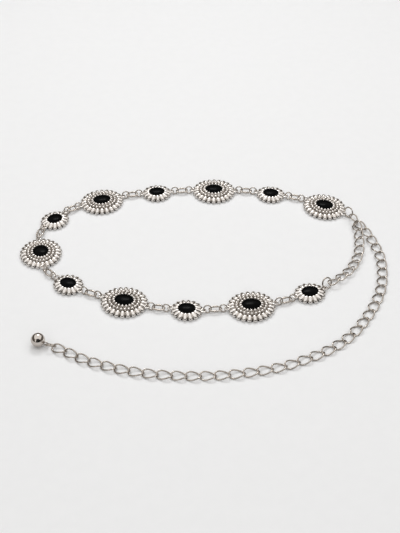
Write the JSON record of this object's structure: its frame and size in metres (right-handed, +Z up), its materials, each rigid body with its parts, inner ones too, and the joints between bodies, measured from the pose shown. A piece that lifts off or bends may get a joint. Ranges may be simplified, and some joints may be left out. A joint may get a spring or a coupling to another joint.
{
  "type": "waist chain",
  "caption": "Waist chain of oval beaded medallions with domed black stones, closed on a twisted curb chain whose long free tail ends in a ball.",
  "frame": {"origin": "on the surface that the chain lies on, under the middle of its box", "axes": "+Z up from the surface; +X along the long side of the waist loop; the free tail runs along the front, at -Y"},
  "size_m": [0.2802, 0.2317, 0.01],
  "materials": {
    "metal": "polished cast white metal",
    "onyx": "smooth polished black stone"
  },
  "bodies": {
    "root": {"large_setting_1": "metal", "large_setting_2": "metal", "large_setting_3": "metal", "large_setting_4": "metal", "large_setting_5": "metal", "large_setting_6": "metal", "large_stone_1": "onyx", "large_stone_2": "onyx", "large_stone_3": "onyx", "large_stone_4": "onyx", "large_stone_5": "onyx", "large_stone_6": "onyx", "small_setting_1": "metal", "small_setting_2": "metal", "small_setting_3": "metal", "small_setting_4": "metal", "small_setting_5": "metal", "small_setting_6": "metal", "small_stone_1": "onyx", "small_stone_2": "onyx", "small_stone_3": "onyx", "small_stone_4": "onyx", "small_stone_5": "onyx", "small_stone_6": "onyx", "join_links_1": "metal", "join_links_2": "metal", "join_links_3": "metal", "join_links_4": "metal", "join_links_5": "metal", "join_links_6": "metal", "join_links_7": "metal", "join_links_8": "metal", "join_links_9": "metal", "join_links_10": "metal", "join_links_11": "metal", "clasp_ring": "metal", "row_end_ring": "metal", "loop_chain": "metal", "tail_chain": "metal", "tail_ring": "metal", "ball": "metal"}
  },
  "joints": []
}
